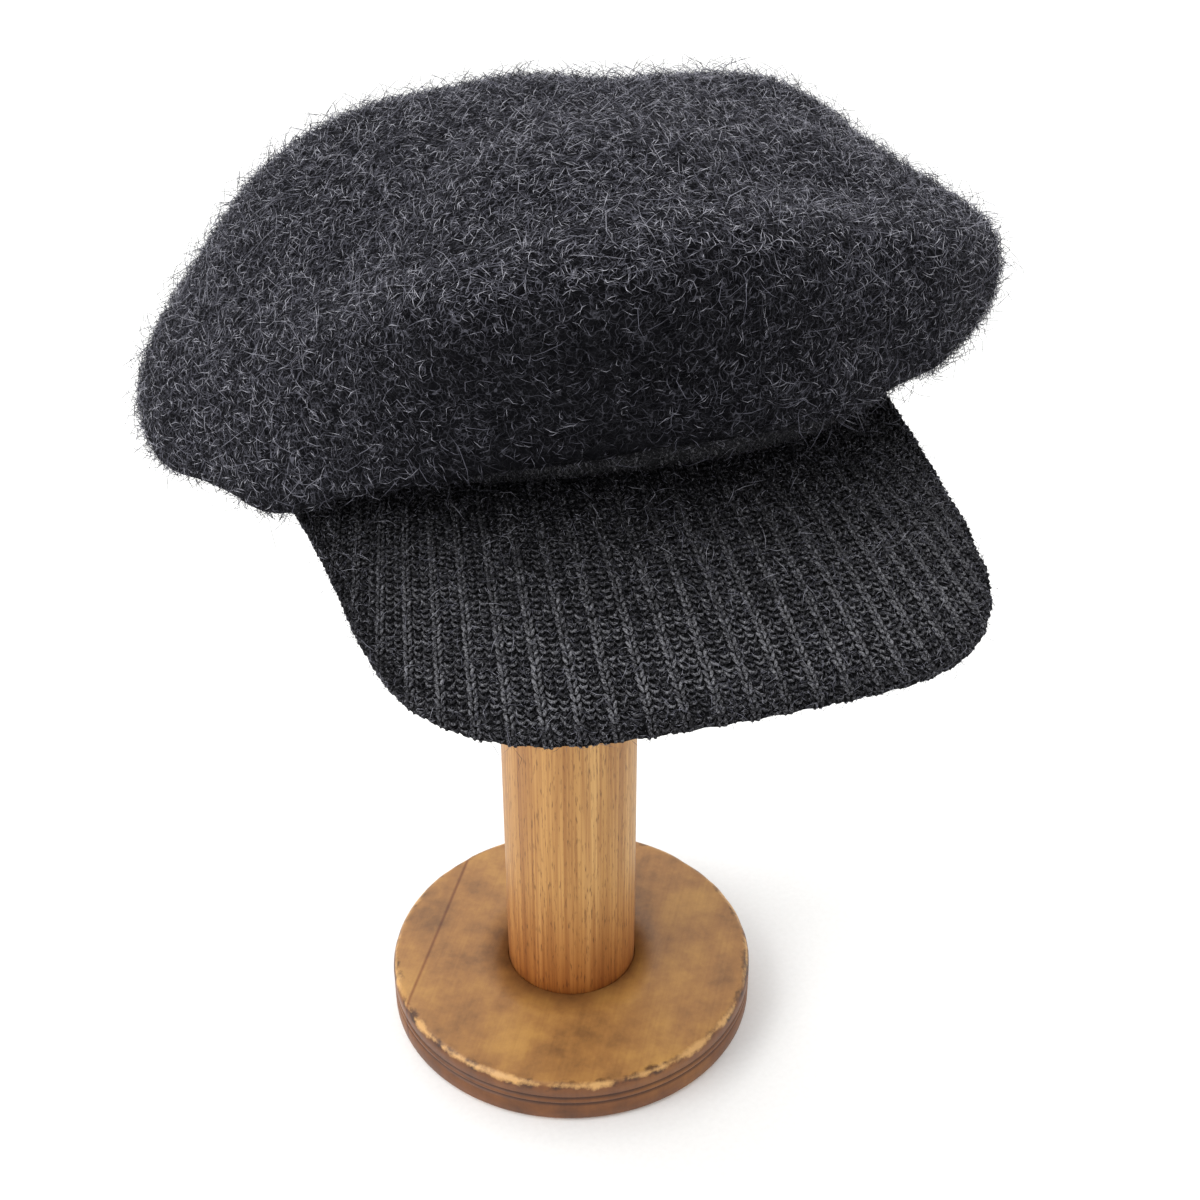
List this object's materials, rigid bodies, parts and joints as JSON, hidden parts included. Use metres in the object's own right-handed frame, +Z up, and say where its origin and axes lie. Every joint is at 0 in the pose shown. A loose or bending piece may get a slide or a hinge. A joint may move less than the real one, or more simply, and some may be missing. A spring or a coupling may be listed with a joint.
{
  "type": "baker boy hat on a wooden hat stand",
  "caption": "Fuzzy knitted baker boy hat with a full slouching crown, a ribbed band and a rib-covered peak, resting on a turned wooden hat stand.",
  "frame": {"origin": "centre of the underside of the stand's base", "axes": "+Z up along the stand's post, the hat faces -Y, +X to the left of someone who wears the hat"},
  "size_m": [0.2586, 0.2894, 0.3494],
  "materials": {
    "fuzzy_knit": "brushed mohair and wool knit, near black with pale grey hairs",
    "rib_knit": "wide ribbed wool knit, near black, lightly fuzzed",
    "stained_wood": "turned beech, brown stain and old wax, worn pale at its edge",
    "pale_wood": "turned ash, honey coloured, open grain, old wax"
  },
  "bodies": {
    "root": {"crown": "fuzzy_knit", "band": "rib_knit", "peak": "rib_knit", "stand_base": "stained_wood", "stand_post": "pale_wood", "stand_top": "pale_wood"}
  },
  "joints": []
}
